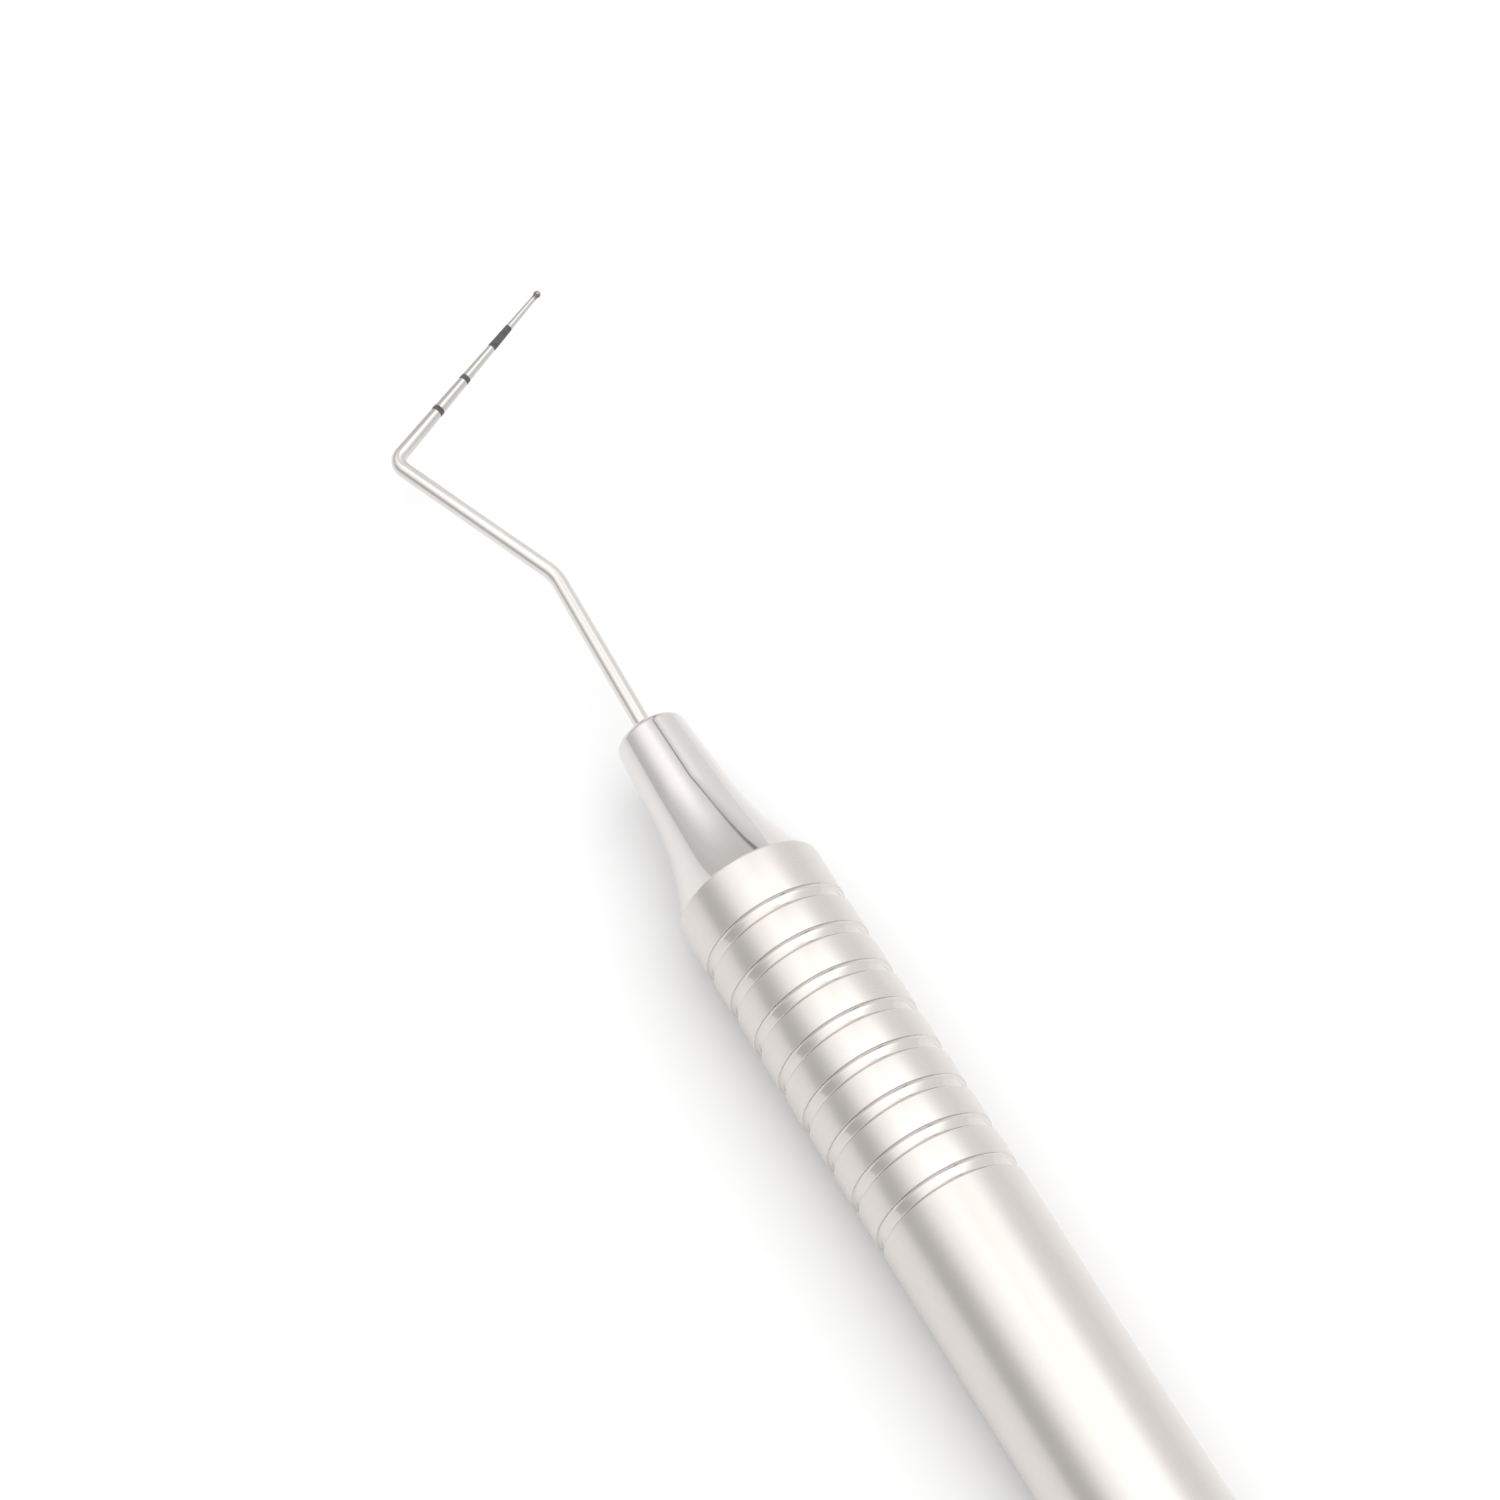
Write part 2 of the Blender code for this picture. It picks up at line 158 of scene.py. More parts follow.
def helix_band(bm, ring_in, ring_out, rows, x_start, root_r, tooth_r, n):
    """Winds a right-handed thread between two flat rings of the root's radius.

    rows: for one pitch, (axial offset, share of the tooth's height). Row 0 is
    on the root. The tooth runs in and out over half a turn.
    """
    per = len(rows)
    last = per * TURNS

    def vertex(j, i):
        turn, k = divmod(j, per)
        dx, share = rows[k]
        tau = turn + i / n
        fade = max(0.0, min(1.0, 2 * tau, 2 * (TURNS - tau)))
        r = root_r + (tooth_r - root_r) * fade * share
        a = 2 * math.pi * i / n
        return bm.verts.new((x_start + dx + PITCH * tau, r * math.cos(a), r * math.sin(a)))

    grid = [[vertex(j, i) for i in range(n)] for j in range(last + 1)]
    step = [grid[last][0]] + [vertex(last + k, 0) for k in range(1, per + 1)]

    def at(j, i):
        if i < n:
            return grid[j][i]
        j += per
        return grid[j][0] if j <= last else step[j - last]

    for j in range(last):
        for i in range(n):
            bm.faces.new((at(j, i), at(j, i + 1), at(j + 1, i + 1), at(j + 1, i)))
    for i in range(n - 1):
        bm.faces.new((ring_in[i], ring_in[i + 1], at(0, i + 1), at(0, i)))
    bm.faces.new([ring_in[n - 1], ring_in[0]] + [grid[k][0] for k in range(per + 1)] + [grid[0][n - 1]])
    for i in range(1, n):
        bm.faces.new((at(last, i), at(last, i + 1), ring_out[(i + 1) % n], ring_out[i]))
    bm.faces.new([grid[last][0], grid[last][1], ring_out[1], ring_out[0]] + step[:0:-1])


# ---- materials -------------------------------------------------------------------
def new_material(name):
    mat = bpy.data.materials.new(name)
    mat.use_nodes = True
    nt = mat.node_tree
    return mat, nt, nt.nodes["Principled BSDF"]


def node(nt, kind, **values):
    n = nt.nodes.new(kind)
    for key, value in values.items():
        if hasattr(n, key):
            setattr(n, key, value)
        else:
            n.inputs[key.replace("_", " ")].default_value = value
    return n


def maths(nt, operation, a, b=None, c=None):
    n = nt.nodes.new("ShaderNodeMath")
    n.operation = operation
    for k, v in enumerate((a, b, c)):
        if v is None:
            continue
        if isinstance(v, (int, float)):
            n.inputs[k].default_value = v
        else:
            nt.links.new(v, n.inputs[k])
    return n.outputs[0]


def stretched_noise(nt, vector, per_metre, detail=2.0, rough=0.5):
    """Noise with its own frequency along x, y and z, in features per metre."""
    m = nt.nodes.new("ShaderNodeMapping")
    m.inputs["Scale"].default_value = per_metre
    nt.links.new(vector, m.inputs["Vector"])
    n = nt.nodes.new("ShaderNodeTexNoise")
    n.inputs["Scale"].default_value = 1.0
    n.inputs["Detail"].default_value = detail
    n.inputs["Roughness"].default_value = rough
    nt.links.new(m.outputs["Vector"], n.inputs["Vector"])
    return n.outputs["Fac"]


def spread(nt, fac, low, high):
    """Takes noise's middle range to low..high."""
    r = nt.nodes.new("ShaderNodeMapRange")
    r.inputs["From Min"].default_value = 0.25
    r.inputs["From Max"].default_value = 0.75
    r.inputs["To Min"].default_value = low
    r.inputs["To Max"].default_value = high
    nt.links.new(fac, r.inputs["Value"])
    return r.outputs["Result"]


def tinted(nt, fac, colour_a, colour_b):
    mix = nt.nodes.new("ShaderNodeMix")
    mix.data_type = "RGBA"
    mix.inputs[6].default_value = (*colour_a, 1)
    mix.inputs[7].default_value = (*colour_b, 1)
    nt.links.new(fac, mix.inputs[0])
    return mix.outputs[2]


def bumped(nt, height, distance, strength=1.0):
    b = nt.nodes.new("ShaderNodeBump")
    b.inputs["Strength"].default_value = strength
    b.inputs["Distance"].default_value = distance
    nt.links.new(height, b.inputs["Height"])
    return b.outputs["Normal"]


def scaled(colour, f):
    return tuple(min(1.0, c * f) for c in colour)


def turned_metal(name, colour, rough, aniso, grain, depth, tint=0.03, bright_below=None):
    """Steel turned or polished on a lathe: fine rings round the x axis.

    rough is (low, high), grain the ring spacing in metres, depth the bump's.
    bright_below is a radius in mm under which the satin belt has not reached.
    """
    mat, nt, bsdf = new_material(name)
    co = nt.nodes.new("ShaderNodeTexCoord").outputs["Object"]
    fine = stretched_noise(nt, co, (1 / grain, 140, 140), 3.0, 0.6)
    wide = stretched_noise(nt, co, (180, 90, 90), 2.0)
    mixed = maths(nt, "ADD", maths(nt, "MULTIPLY", fine, 0.65), maths(nt, "MULTIPLY", wide, 0.35))
    bsdf.inputs["Metallic"].default_value = 1.0
    roughness = spread(nt, mixed, rough[0], rough[1])
    if bright_below:
        part = nt.nodes.new("ShaderNodeSeparateXYZ")
        nt.links.new(co, part.inputs[0])
        y = maths(nt, "SUBTRACT", part.outputs[1], ORIGIN.y)
        z = maths(nt, "SUBTRACT", part.outputs[2], ORIGIN.z)
        radius = maths(nt, "SQRT", maths(nt, "ADD", maths(nt, "MULTIPLY", y, y), maths(nt, "MULTIPLY", z, z)))
        near = nt.nodes.new("ShaderNodeMapRange")
        for key, v in (("From Min", (bright_below - 0.05) * MM), ("From Max", (bright_below + 0.05) * MM),
                       ("To Min", GROOVE_GLOSS), ("To Max", 1.0)):
            near.inputs[key].default_value = v
        nt.links.new(radius, near.inputs["Value"])
        roughness = maths(nt, "MULTIPLY", roughness, near.outputs["Result"])
    nt.links.new(roughness, bsdf.inputs["Roughness"])
    nt.links.new(tinted(nt, spread(nt, mixed, 0, 1), scaled(colour, 1 - tint), scaled(colour, 1 + tint)),
                 bsdf.inputs["Base Color"])
    if aniso:
        bsdf.inputs["Anisotropic"].default_value = aniso
        bsdf.inputs["Anisotropic Rotation"].default_value = 0.25
        t = nt.nodes.new("ShaderNodeTangent")
        t.direction_type = "RADIAL"
        t.axis = "X"
        nt.links.new(t.outputs["Tangent"], bsdf.inputs["Tangent"])
    if depth:
        nt.links.new(bumped(nt, fine, depth), bsdf.inputs["Normal"])
    return mat


def drawn_metal(name, colour, rough, tint=0.04, heated=None):
    """Polished wire: soft cloudy variation and faint cross marks.

    heated: (point in metres, colour) where the ball was melted on; the oxide's
    colour fades out within half a millimetre, and a faint dull tone goes on up
    the tip.
    """
    mat, nt, bsdf = new_material(name)
    co = nt.nodes.new("ShaderNodeTexCoord").outputs["Object"]
    cloud = stretched_noise(nt, co, (900, 900, 900), 3.0, 0.6)
    fine = stretched_noise(nt, co, (9000, 9000, 9000), 2.0)
    mixed = maths(nt, "ADD", maths(nt, "MULTIPLY", fine, 0.4), maths(nt, "MULTIPLY", cloud, 0.6))
    bsdf.inputs["Metallic"].default_value = 1.0
    nt.links.new(spread(nt, mixed, rough[0], rough[1]), bsdf.inputs["Roughness"])
    skin = tinted(nt, spread(nt, mixed, 0, 1), scaled(colour, 1 - tint), scaled(colour, 1 + tint))
    if heated:
        point, oxide = heated
        reach = nt.nodes.new("ShaderNodeVectorMath")
        reach.operation = "DISTANCE"
        nt.links.new(co, reach.inputs[0])
        reach.inputs[1].default_value = point
        for tone, near, far, amount in (((0.56, 0.545, 0.52), 0.010, 0.019, 1.0), (oxide, 0.00016, 0.00046, 1.0)):
            fade = nt.nodes.new("ShaderNodeMapRange")
            fade.interpolation_type = "SMOOTHSTEP"
            for key, v in (("From Min", near), ("From Max", far), ("To Min", amount), ("To Max", 0.0)):
                fade.inputs[key].default_value = v
            nt.links.new(reach.outputs["Value"], fade.inputs["Value"])
            mix = nt.nodes.new("ShaderNodeMix")
            mix.data_type = "RGBA"
            nt.links.new(fade.outputs["Result"], mix.inputs[0])
            nt.links.new(skin, mix.inputs[6])
            mix.inputs[7].default_value = (*tone, 1)
            skin = mix.outputs[2]
    nt.links.new(skin, bsdf.inputs["Base Color"])
    nt.links.new(bumped(nt, fine, 0.0000012), bsdf.inputs["Normal"])
    return mat


def enamel_black(name):
    """Baked enamel with a slightly uneven, matt skin."""
    mat, nt, bsdf = new_material(name)
    co = nt.nodes.new("ShaderNodeTexCoord").outputs["Object"]
    cloud = stretched_noise(nt, co, (3500, 3500, 3500), 3.0, 0.6)
    bsdf.inputs["Metallic"].default_value = 0.0
    bsdf.inputs["Specular IOR Level"].default_value = 0.35
    nt.links.new(spread(nt, cloud, 0.42, 0.62), bsdf.inputs["Roughness"])
    nt.links.new(tinted(nt, spread(nt, cloud, 0, 1), (0.050, 0.049, 0.052), (0.135, 0.130, 0.132)),
                 bsdf.inputs["Base Color"])
    nt.links.new(bumped(nt, cloud, 0.000004), bsdf.inputs["Normal"])
    return mat


GROOVE_GLOSS = 0.45
SATIN = turned_metal("satin_steel", (0.69, 0.657, 0.622), (0.265, 0.308), 0.75, 0.00011, 0.00000018, 0.013, HR - 0.07)
PLUG = turned_metal("satin_plug", (0.69, 0.657, 0.622), (0.265, 0.308), 0.0, 0.00011, 0.00000018, 0.013)
POLISHED = turned_metal("polished_steel", (0.715, 0.685, 0.668), (0.045, 0.085), 0.0, 0.0004, 0.0, 0.012)
TURNED = turned_metal("turned_steel", (0.62, 0.60, 0.57), (0.28, 0.42), 0.0, 0.00009, 0.000002, 0.05)
BRAZE = drawn_metal("braze_alloy", (0.74, 0.70, 0.61), (0.20, 0.34), 0.06)
ENAMEL = enamel_black("black_enamel")


# ---- handle -----------------------------------------------------------------------
def groove(centre):
    """A form-turned grip groove: eased lips that run smoothly into a round floor."""
    turn = math.radians(GROOVE_WALL_DEG)
    lip, floor_r = GROOVE_LIP_R, GROOVE_FLOOR_R
    depth = (lip + floor_r) * (1 - math.cos(turn))
    reach = GROOVE_FLAT / 2 + (lip + floor_r) * math.sin(turn)
    front_lip = [(lip * math.sin(turn * k / 8) - reach, HR - lip + lip * math.cos(turn * k / 8)) for k in range(9)]
    front_floor = [(-GROOVE_FLAT / 2 - floor_r * math.sin(turn * (1 - k / 9)),
                    HR - depth + floor_r - floor_r * math.cos(turn * (1 - k / 9))) for k in range(1, 10)]
    half = front_lip + front_floor
    return [(centre + x, r) for x, r in half] + [(centre - x, r) for x, r in reversed(half)]


profile = [(0.0, BORE_R + 0.1), (0.0, HR - 0.18)] + arc(0.18, HR - 0.18, 0.18, 170, 90, 8)
for k in range(GROOVES):
    profile += groove(GROOVE_FIRST + GROOVE_PITCH * k)
profile += [(TUBE_LENGTH - 0.05, HR), (TUBE_LENGTH, HR - 0.05), (TUBE_LENGTH, BORE_R), (0.1, BORE_R)]
tube = turned("handle_tube_turned", profile, SATIN, 256, closed=True, sharp_deg=30)

plug_in = BORE_R - GAP
profile = [(TUBE_LENGTH - 6.0, plug_in - 0.4), (TUBE_LENGTH - 5.6, plug_in), (TUBE_LENGTH - 0.1, plug_in),
           (TUBE_LENGTH + GAP, plug_in), (TUBE_LENGTH + GAP, HR - 0.06), (TUBE_LENGTH + GAP + 0.06, HR)]
profile += arc(HANDLE_LENGTH - 1.6, HR - 1.6, 1.6, 90, 0, 20)
profile += [(HANDLE_LENGTH, 1.6), (HANDLE_LENGTH, 0.4)]
plug = turned("rear_plug_turned", profile, PLUG, 192)

# ---- bush, pressed into the tube's front end ----------------------------------------
N_THREAD = 160
bm = bmesh.new()
tooth_w = (BUSH_GROOVE_R - BUSH_TOOTH_R) * TAN30
half_groove = CREST / 2 + FLANK_GAP - (BUSH_GROOVE_R - MAJOR_R) * TAN30
rows = [(0.0, 0.0), (2 * half_groove, 0.0), (2 * half_groove + tooth_w, 1.0), (PITCH - tooth_w, 1.0)]
pocket = [ring(bm, x, r, N_THREAD) for x, r in
          [(BUSH_FRONT, POCKET_R + 0.08), (BUSH_FRONT + 0.08, POCKET_R), (POCKET_END - 0.04, POCKET_R),
           (POCKET_END, POCKET_R - 0.04), (POCKET_END, BUSH_GROOVE_R + 0.12), (POCKET_END + 0.12, BUSH_GROOVE_R)]]
for a, b in zip(pocket, pocket[1:]):
    bridge(bm, a, b)
thread_end = ring(bm, THREAD_AT + PITCH * (TURNS + 1) + 0.1, BUSH_GROOVE_R, N_THREAD)
helix_band(bm, pocket[-1], thread_end, rows, THREAD_AT - half_groove, BUSH_GROOVE_R, BUSH_TOOTH_R, N_THREAD)
r_out = BORE_R - GAP
outside = [ring(bm, x, r, N_THREAD) for x, r in
           [(BUSH_REAR, BUSH_GROOVE_R), (BUSH_REAR, r_out - 0.2), (BUSH_REAR - 0.2, r_out),
            (BUSH_FRONT + 0.2, r_out), (BUSH_FRONT, r_out - 0.2)]]
loop = [thread_end] + outside + [pocket[0]]
for a, b in zip(loop, loop[1:]):
    bridge(bm, a, b)
bush = finish_mesh("front_bush_turned", bm, TURNED, 25, N_THREAD)


# ---- nose --------------------------------------------------------------------------
def nose_radius(u):
    """Outside radius of the nose at distance u behind its front face."""
    if u <= NOSE_FLARE_AT:
        return NOSE_FRONT_R + u * math.tan(NOSE_CONE)
    base = NOSE_FRONT_R + NOSE_FLARE_AT * math.tan(NOSE_CONE)
    s = math.sin(NOSE_CONE) + (u - NOSE_FLARE_AT) / NOSE_FLARE_R
    return base + NOSE_FLARE_R * (math.cos(NOSE_CONE) - math.sqrt(1 - s * s))


N_NOSE = 224
front = -NOSE_LENGTH
bore_r = SHANK_D_ROOT / 2 + GAP
corner = NOSE_FRONT_R + NOSE_EDGE_R * math.tan(NOSE_CONE) - NOSE_EDGE_R
profile = [(front + TANG_DEPTH, bore_r - 0.2), (front + TANG_DEPTH, bore_r), (front, bore_r)]
profile += arc(front + NOSE_EDGE_R, corner, NOSE_EDGE_R, 180, 94, 16)
u0, seat = 0.62, -GAP
for k in range(61):
    u = u0 + (NOSE_LENGTH - GAP - u0) * k / 60
    profile.append((front + u, nose_radius(u)))
profile += [(seat, SPIGOT_R + 0.1), (seat + 0.1, SPIGOT_R), (SPIGOT_LENGTH - 0.15, SPIGOT_R),
            (SPIGOT_LENGTH, SPIGOT_R - 0.15), (SPIGOT_LENGTH, MINOR_R)]
bm = bmesh.new()
rings = [ring(bm, x, r, N_NOSE) for x, r in profile]
bm.faces.new(rings[0])
for a, b in zip(rings, rings[1:]):
    bridge(bm, a, b)
flank = (MAJOR_R - MINOR_R) * TAN30
rows = [(0.0, 0.0), (flank * 0.92, 0.95), (flank + CREST * 0.25, 1.0), (flank + CREST * 0.75, 1.0),
        (flank * 1.08 + CREST, 0.95), (2 * flank + CREST, 0.0)]
x_start = THREAD_AT - CREST / 2 - flank
thread_end = ring(bm, x_start + PITCH * (TURNS + 1) + 0.08, MINOR_R, N_NOSE)
helix_band(bm, rings[-1], thread_end, rows, x_start, MINOR_R, MAJOR_R, N_NOSE)
tail = ring(bm, STUD_END, MINOR_R - 0.45, N_NOSE)
bridge(bm, thread_end, tail)
bm.faces.new(tail)
nose = finish_mesh("nose_cone_turned", bm, POLISHED, 30, N_NOSE)

# ---- braze fillet --------------------------------------------------------------------
face = -NOSE_LENGTH - GAP
profile = [(face, bore_r)]
profile += [(x, r + 0.06) for x, r in arc(face - FILLET_R, bore_r + FILLET_R, FILLET_R, 0, -90, 14)]
profile += [(face - FILLET_R, bore_r)]
braze = turned("braze_fillet_ring", profile, BRAZE, 96, closed=True, sharp_deg=40)


# ---- shank -----------------------------------------------------------------------------
def heading(deg):
    a = math.radians(deg)
    return Vector((-math.cos(a), -math.sin(a), 0))


D0, D1 = heading(0), heading(-LEAN_DEG)
D2 = heading(BEND_1_DEG - LEAN_DEG)
D3 = heading(BEND_1_DEG - LEAN_DEG - BEND_2_DEG)
ROOT = Vector((-NOSE_LENGTH + TANG_DEPTH - 0.25, 0, 0))
C0 = Vector((-NOSE_LENGTH - LEAN_AT, 0, 0))
C1 = C0 + SHANK_1 * D1
C2 = C1 + SHANK_2 * D2
END = C2 + TIP_LENGTH * D3


def bend_points(corner, d_in, d_out, radius, steps):
    total = d_in.angle(d_out)
    tangent = radius * math.tan(total / 2)
    start = corner - tangent * d_in
    side = (d_out - d_out.dot(d_in) * d_in).normalized()
    pts = []
    for k in range(steps + 1):
        a = total * k / steps
        pts.append((start + radius * math.sin(a) * d_in + radius * (1 - math.cos(a)) * side,
                    math.cos(a) * d_in + math.sin(a) * side))
    return pts


def tip_radius(u):
    """Radius of the drawn tip at distance u from the ball's end."""
    return (NECK_D + TIP_TAPER * (u - NECK_AT)) / 2


def shank_sections():
    run = (C0 - ROOT).length + SHANK_1 + SHANK_2

    def body_radius(dist):
        t = min(1.0, max(0.0, (dist - TANG_DEPTH) / (run - TANG_DEPTH)))
        return (SHANK_D_ROOT + (SHANK_D_BEND - SHANK_D_ROOT) * t) / 2

    out = [(ROOT, D0, SHANK_D_ROOT / 2 - 0.15), (ROOT + 0.15 * D0, D0, SHANK_D_ROOT / 2)]
    out += [(p, t, SHANK_D_ROOT / 2) for p, t in bend_points(C0, D0, D1, LEAN_R, 4)]
    out += [(p, t, body_radius((C1 - ROOT).length)) for p, t in bend_points(C1, D1, D2, BEND_1_R, 16)]
    r_in, r_out = SHANK_D_BEND / 2, tip_radius(TIP_LENGTH - 0.9)
    out += [(p, t, r_in + (r_out - r_in) * k / 28) for k, (p, t) in enumerate(bend_points(C2, D2, D3, BEND_2_R, 28))]
    stations = [(13.6, tip_radius(13.6))]
    for name, near, far in reversed(MARKS):
        stations += [(far, tip_radius(far)), (far - 0.001, tip_radius(far) - MARK_DEPTH),
                     (near + 0.001, tip_radius(near) - MARK_DEPTH), (near, tip_radius(near))]
    stations += [(1.6, tip_radius(1.6)), (0.95, tip_radius(0.95) + 0.0006), (NECK_AT, NECK_D / 2)]
    out += [(END - u * D3, D3, r) for u, r in stations]
    ball = BALL_D / 2
    for deg in (134, 126, 114, 102, 90, 78, 66, 54, 42, 31, 21, 12, 5):
        a = math.radians(deg)
        out.append((END - (ball - ball * math.cos(a)) * D3, D3, ball * math.sin(a)))
    return out


def sweep(bm, sections, n):
    up = Vector((0, 0, 1))
    rings = []
    for centre, tangent, r in sections:
        side = up.cross(tangent).normalized()
        rings.append([bm.verts.new(centre + r * (math.cos(2 * math.pi * i / n) * side
                                                 + math.sin(2 * math.pi * i / n) * up))
                      for i in range(n)])
    return rings


NECK = (END - 0.43 * D3) * MM + ORIGIN
WIRE = drawn_metal("drawn_steel", (0.70, 0.675, 0.648), (0.12, 0.22), 0.04, (NECK, (0.17, 0.15, 0.135)))
bm = bmesh.new()
rings = sweep(bm, shank_sections(), 56)
for a, b in zip(rings, rings[1:]):
    bridge(bm, a, b)
bm.faces.new(rings[0])
bm.faces.new(rings[-1])
shank = finish_mesh("probe_shank_drawn", bm, WIRE, 35, 56)


def enamel_mark(name, near, far):
    """A band of enamel in its recess, with eased outer edges."""
    ease = 0.012
    inner = [(near + MARK_GAP, tip_radius(near) - MARK_DEPTH + MARK_GAP),
             (far - MARK_GAP, tip_radius(far) - MARK_DEPTH + MARK_GAP)]
    outer = [(far - MARK_GAP, tip_radius(far) + MARK_GAP - ease),
             (far - MARK_GAP - ease, tip_radius(far) + MARK_GAP),
             (near + MARK_GAP + ease, tip_radius(near) + MARK_GAP),
             (near + MARK_GAP, tip_radius(near) + MARK_GAP - ease)]
    bm = bmesh.new()
    rings = sweep(bm, [(END - u * D3, D3, r) for u, r in inner + outer], 56)
    for a, b in zip(rings, rings[1:] + rings[:1]):
        bridge(bm, a, b)
    return finish_mesh(name + "_enamel", bm, ENAMEL, 50, 56)


marks = {name: enamel_mark(name, near, far) for name, near, far in MARKS}

# ---- riding ----------------------------------------------------------------------------
for piece, body, cad, slot in (
        (tube, "handle", "handle_tube", "satin_steel"),
        (plug, "handle", "rear_plug", "satin_steel"),
        (bush, "handle", "front_bush", "turned_steel"),
        (nose, "working_end", "nose_cone", "polished_steel"),
        (shank, "working_end", "probe_shank", "drawn_steel"),
        (braze, "screw_advance", "braze_fillet", "braze_alloy"),
        *[(marks[m[0]], "working_end", m[0], "black_enamel") for m in MARKS]):
    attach(piece, body)
    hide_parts(cad)


# ---- floor -------------------------------------------------------------------------------
def floor_disc(radius):
    bm = bmesh.new()
    n = 96
    rings = [[bm.verts.new((r * math.cos(2 * math.pi * i / n), r * math.sin(2 * math.pi * i / n), 0))
              for i in range(n)] for r in (0.15, 0.5, 2.0, radius)]
    bm.faces.new(rings[0])
    for a, b in zip(rings, rings[1:]):
        bridge(bm, a, b)
    for f in bm.faces:
        if f.normal.z < 0:
            f.normal_flip()
    mesh = bpy.data.meshes.new("floor")
    bm.to_mesh(mesh)
    bm.free()
    mat, nt, bsdf = new_material("floor_paper")
    # painted shade: the floor that the steel mirrors gets its own colour, FLOOR_ALBEDO darkening with distance
    # towards the tent's front and a little towards the sweep, in place of light falling off; camera rays see the
    # floor plain, at FLOOR_SEEN
    part = nt.nodes.new("ShaderNodeSeparateXYZ")
    nt.links.new(nt.nodes.new("ShaderNodeTexCoord").outputs["Object"], part.inputs[0])
    away = maths(nt, "LOGARITHM", maths(nt, "ADD", maths(nt, "MAXIMUM", maths(nt, "MULTIPLY", part.outputs[1], -1.0), 0.0),
                                    0.001), 10.0)
    # painted shade: the mirrored floor's colour, darker the further it lies towards the tent's front
    painted_floor_falloff = nt.nodes.new("ShaderNodeValToRGB")
    el = painted_floor_falloff.color_ramp.elements
    while len(el) > 1:
        el.remove(el[-1])
    for k, (metres, share) in enumerate(((0.012, 1.0), (0.022, 0.94), (0.04, 0.86), (0.08, 0.82), (0.2, 0.78),
                                         (0.7, 0.72), (5.0, 0.70))):
        at = (math.log10(metres) + 3) / 4
        e = el[0] if k == 0 else el.new(at)
        e.position = at
        e.color = (share * FLOOR_ALBEDO,) * 3 + (1,)
    nt.links.new(maths(nt, "DIVIDE", maths(nt, "ADD", away, 3.0), 4.0), painted_floor_falloff.inputs["Fac"])
    seen = nt.nodes.new("ShaderNodeMix")
    seen.data_type = "RGBA"
    nt.links.new(nt.nodes.new("ShaderNodeLightPath").outputs["Is Camera Ray"], seen.inputs[0])
    # painted shade: the mirrored floor's colour a little darker towards the sweep (+Y)
    rear = nt.nodes.new("ShaderNodeMapRange")
    for key, v in (("From Min", 0.008), ("From Max", 0.035), ("To Min", 1.0), ("To Max", 0.92)):
        rear.inputs[key].default_value = v
    nt.links.new(part.outputs[1], rear.inputs["Value"])
    both = nt.nodes.new("ShaderNodeVectorMath")
    both.operation = "MULTIPLY"
    nt.links.new(painted_floor_falloff.outputs["Color"], both.inputs[0])
    nt.links.new(rear.outputs["Result"], both.inputs[1])
    nt.links.new(both.outputs["Vector"], seen.inputs[6])
    seen.inputs[7].default_value = (FLOOR_SEEN, FLOOR_SEEN, FLOOR_SEEN, 1)
    nt.links.new(seen.outputs[2], bsdf.inputs["Base Color"])
    bsdf.inputs["Roughness"].default_value = 1.0
    bsdf.inputs["Specular IOR Level"].default_value = 0.0
    mesh.materials.append(mat)
    ob = bpy.data.objects.new("floor", mesh)
    bpy.context.scene.collection.objects.link(ob)
    return ob


# FLOOR_SEEN is the floor's colour to the camera; FLOOR_ALBEDO is the copy the steel mirrors near the object, with
# painted shade beyond
FLOOR_SEEN, FLOOR_ALBEDO = 0.865, 0.90
FLOOR_WHITE = 1.0
floor = floor_disc(30.0)


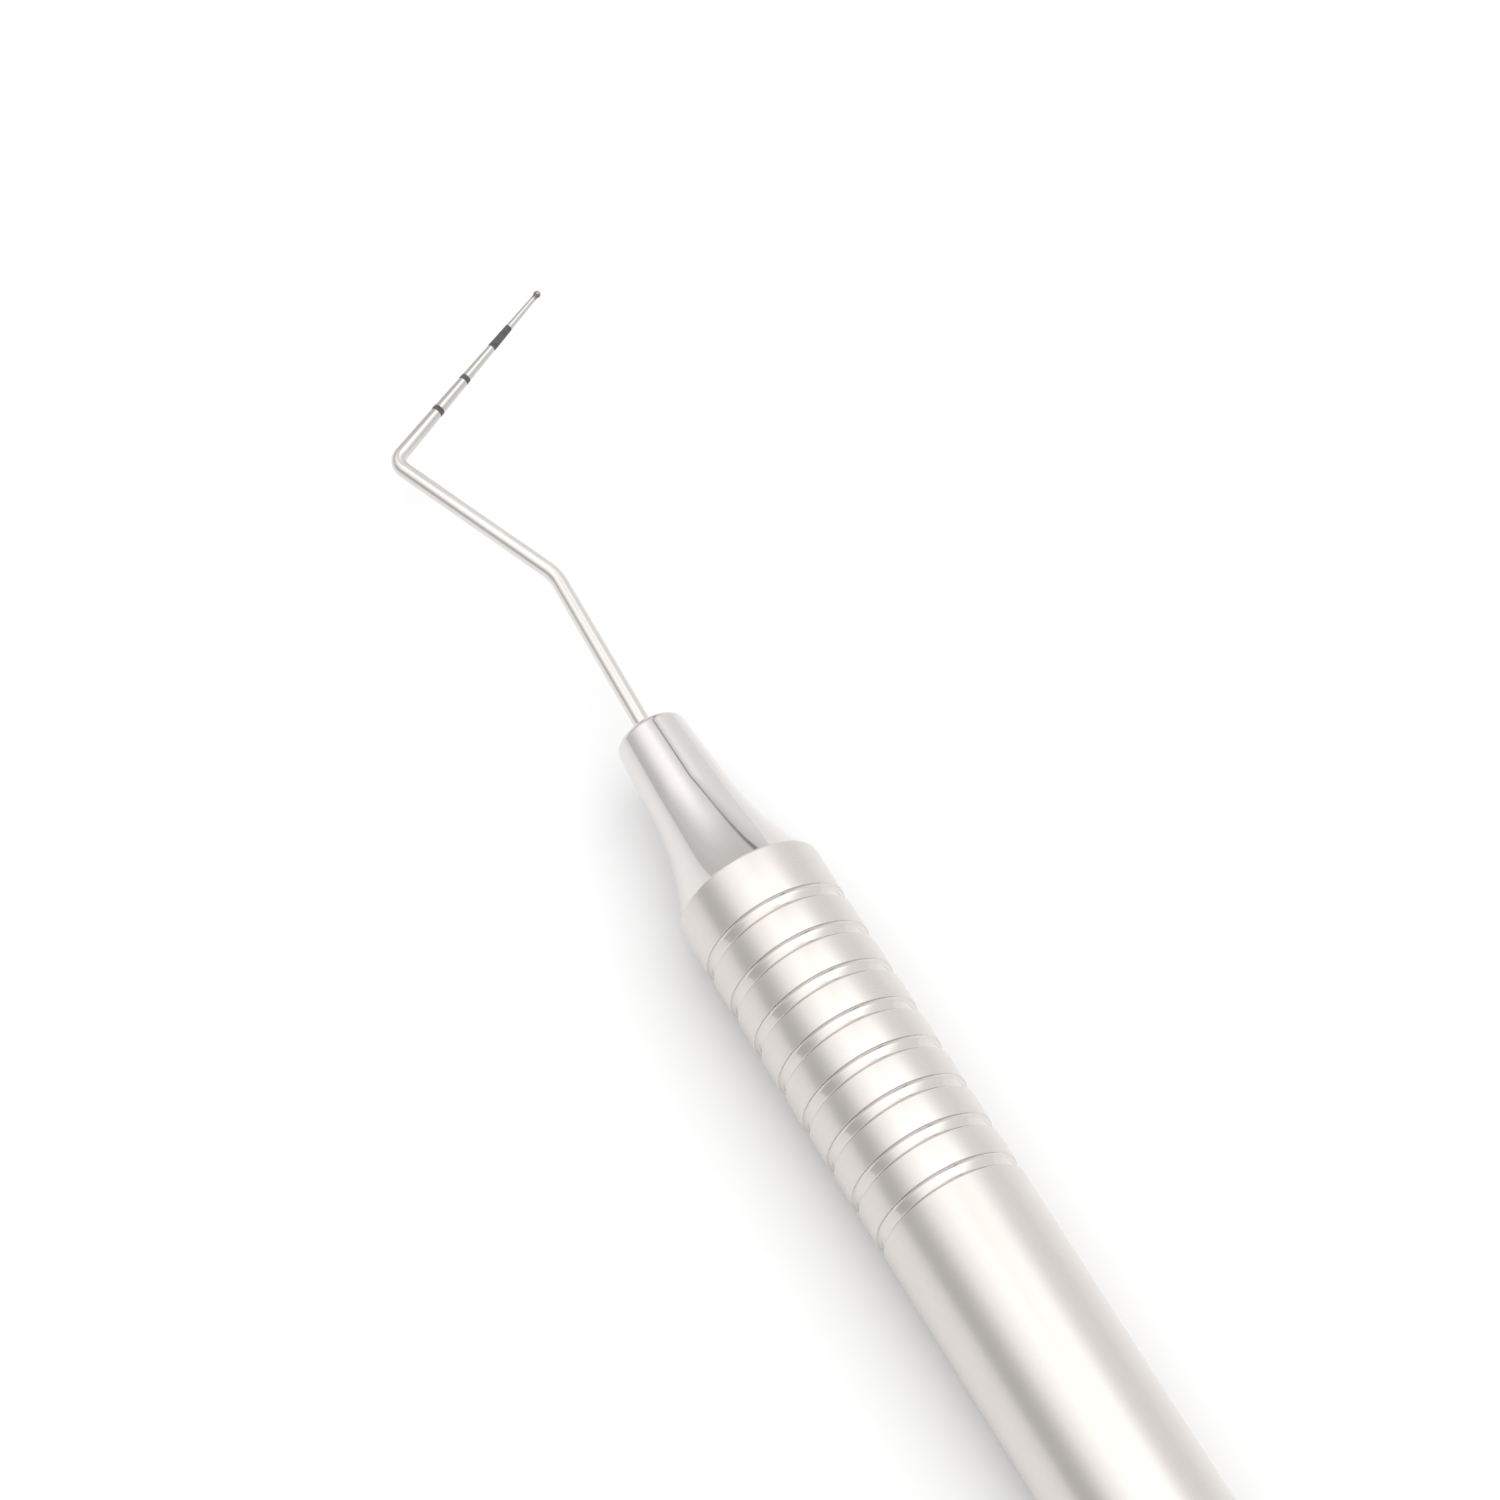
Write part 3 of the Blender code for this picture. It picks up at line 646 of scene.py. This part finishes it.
# ---- studio ---------------------------------------------------------------------------------
def studio():
    """A light tent, as a function of direction: a sweep that rises behind the
    object (+Y), walls at its ends and front, and a bright top."""
    world = bpy.data.worlds.new("studio")
    bpy.context.scene.world = world
    world.use_nodes = True
    nt = world.node_tree
    nt.nodes.clear()
    xyz = nt.nodes.new("ShaderNodeSeparateXYZ")
    nt.links.new(nt.nodes.new("ShaderNodeTexCoord").outputs["Generated"], xyz.inputs[0])
    x, y, z = xyz.outputs

    def ramp(fac, low, high, stops, ease="LINEAR"):
        """Brightness (0..2) at stops of (degrees, brightness)."""
        r = nt.nodes.new("ShaderNodeValToRGB")
        r.color_ramp.interpolation = ease
        el = r.color_ramp.elements
        while len(el) > 1:
            el.remove(el[-1])
        for k, (deg, value) in enumerate(stops):
            at = (deg - low) / (high - low)
            e = el[0] if k == 0 else el.new(at)
            e.position = at
            e.color = (value / 2, value / 2, value / 2, 1)
        t = maths(nt, "DIVIDE", maths(nt, "SUBTRACT", fac, low), high - low)
        nt.links.new(t, r.inputs["Fac"])
        return maths(nt, "MULTIPLY", r.outputs["Color"], 2.0)

    elev = maths(nt, "MULTIPLY", maths(nt, "ARCSINE", z), 180 / math.pi)
    azim = maths(nt, "MULTIPLY", maths(nt, "ARCTAN2", y, maths(nt, "ABSOLUTE", x)), 180 / math.pi)

    ends = ramp(elev, -10, 90, ((-10, 0.70), (0, 0.68), (5, 0.69), (9, 0.72), (12, 0.755), (17, 0.765), (24, 0.885),
                                (29, 0.985), (34, 1.10), (38, 1.21), (44, 1.31), (50, 1.40), (56, 1.45), (62, 1.50),
                                (66, 1.72), (70, 1.88), (80, 1.95), (90, 1.97)))
    near = ramp(elev, -10, 90, ((-10, 0.72), (0, 0.70), (4, 0.65), (12, 0.585), (23, 0.625), (34, 0.84), (45, 1.19),
                                (54, 1.34), (62, 1.50), (70, 1.78), (80, 1.93), (90, 1.97)))
    sweep_ = ramp(elev, -10, 90, ((-10, 0.96), (0, 0.955), (12, 0.95), (17, 0.95), (24, 0.98), (31, 1.00), (37, 1.05),
                                  (43, 1.20), (48, 1.35), (54, 1.63), (60, 1.90), (75, 1.96), (90, 1.97)))
    far_lift = ramp(elev, -10, 90, ((30, 0.0), (36, 0.02), (44, 0.07), (54, 0.07), (64, 0.03), (75, 0.0)))

    def blend(a, b, fac):
        return maths(nt, "ADD", maths(nt, "MULTIPLY", a, maths(nt, "SUBTRACT", 1.0, fac)),
                     maths(nt, "MULTIPLY", b, fac))

    def step(value, start, end):
        r = nt.nodes.new("ShaderNodeMapRange")
        r.interpolation_type = "SMOOTHSTEP"
        for key, v in (("From Min", start), ("From Max", end), ("To Min", 0.0), ("To Max", 1.0)):
            r.inputs[key].default_value = v
        nt.links.new(value, r.inputs["Value"])
        return r.outputs["Result"]

    # the seam where the sweep meets the end wall leans a little; past = degrees on the sweep's side of it
    seam = maths(nt, "MULTIPLY", 15.0, ramp(elev, -10, 90, ((0, 1.39), (16, 1.40), (30, 1.52), (41, 1.61), (46, 1.59),
                                                            (49, 1.53), (51, 1.45), (53, 1.35), (56, 1.26), (60, 1.20))))
    past = maths(nt, "SUBTRACT", azim, seam)
    walls = blend(near, ends, step(azim, -62, -50))
    sweep_ = maths(nt, "MULTIPLY", sweep_, maths(nt, "ADD", 1.0, maths(nt, "MULTIPLY", far_lift, step(azim, 46, 62))))
    light = blend(walls, sweep_, step(past, -0.6, 0.6))
    # a thin shadow with soft shoulders, lost in the top light
    core = maths(nt, "SUBTRACT", 1.0, step(maths(nt, "ABSOLUTE", past), 0.5, 3.2))
    behind = maths(nt, "SUBTRACT", 1.0, step(past, 1.0, 20.0))
    before = maths(nt, "SUBTRACT", 1.0, step(maths(nt, "MULTIPLY", past, -1.0), 1.0, 48.0))
    core_depth = ramp(elev, -10, 90, ((0, 0.55), (14, 0.52), (22, 0.42), (30, 0.34), (45, 0.34), (52, 0.42), (57, 0.30), (62, 0)))
    behind_depth = ramp(elev, -10, 90, ((0, 0.20), (15, 0.20), (28, 0.27), (37, 0.26), (44, 0.34), (50, 0.42), (58, 0.20),
                                        (66, 0)))
    before_depth = ramp(elev, -10, 90, ((0, 0.03), (17, 0.06), (26, 0.17), (35, 0.21), (45, 0.32), (54, 0.34),
                                        (60, 0.20), (68, 0)))
    shoulder = blend(maths(nt, "MULTIPLY", before, before_depth), maths(nt, "MULTIPLY", behind, behind_depth),
                     step(past, -0.6, 0.6))
    dark = maths(nt, "ADD", maths(nt, "MULTIPLY", core, core_depth), shoulder)
    light = maths(nt, "MULTIPLY", light, maths(nt, "SUBTRACT", 1.0, dark))

    path = nt.nodes.new("ShaderNodeLightPath")
    bright = nt.nodes.new("ShaderNodeBackground")
    bright.inputs["Color"].default_value = (1, 1, 1, 1)
    nt.links.new(light, bright.inputs["Strength"])
    plain = nt.nodes.new("ShaderNodeBackground")
    plain.inputs["Color"].default_value = (1, 1, 1, 1)
    plain.inputs["Strength"].default_value = FLOOR_WHITE
    mix = nt.nodes.new("ShaderNodeMixShader")
    nt.links.new(path.outputs["Is Camera Ray"], mix.inputs["Fac"])
    nt.links.new(bright.outputs[0], mix.inputs[1])
    nt.links.new(plain.outputs[0], mix.inputs[2])
    out = nt.nodes.new("ShaderNodeOutputWorld")
    nt.links.new(mix.outputs[0], out.inputs["Surface"])


studio()
bpy.context.scene.view_settings.view_transform = "Standard"
bpy.context.scene.view_settings.look = "None"

# ---- camera: a long lens from above the butt's near side -----------------------------------
cam_data = bpy.data.cameras.new("camera")
cam_data.sensor_width = 36.0
cam_data.lens = 132.0
cam_data.clip_start, cam_data.clip_end = 0.01, 200.0
cam = bpy.data.objects.new("camera", cam_data)
bpy.context.scene.collection.objects.link(cam)
forward = Vector((-0.45941, 0.28189, -0.84231)).normalized()
right = Vector((0.48139, 0.87597, 0.03059))
right = (right - right.dot(forward) * forward).normalized()
up = right.cross(forward)
eye = ORIGIN + Vector((0.14562, -0.08984, 0.28311))
cam.matrix_world = Matrix(((right.x, up.x, -forward.x, eye.x),
                           (right.y, up.y, -forward.y, eye.y),
                           (right.z, up.z, -forward.z, eye.z),
                           (0, 0, 0, 1)))
bpy.context.scene.camera = cam

bpy.context.view_layer.update()
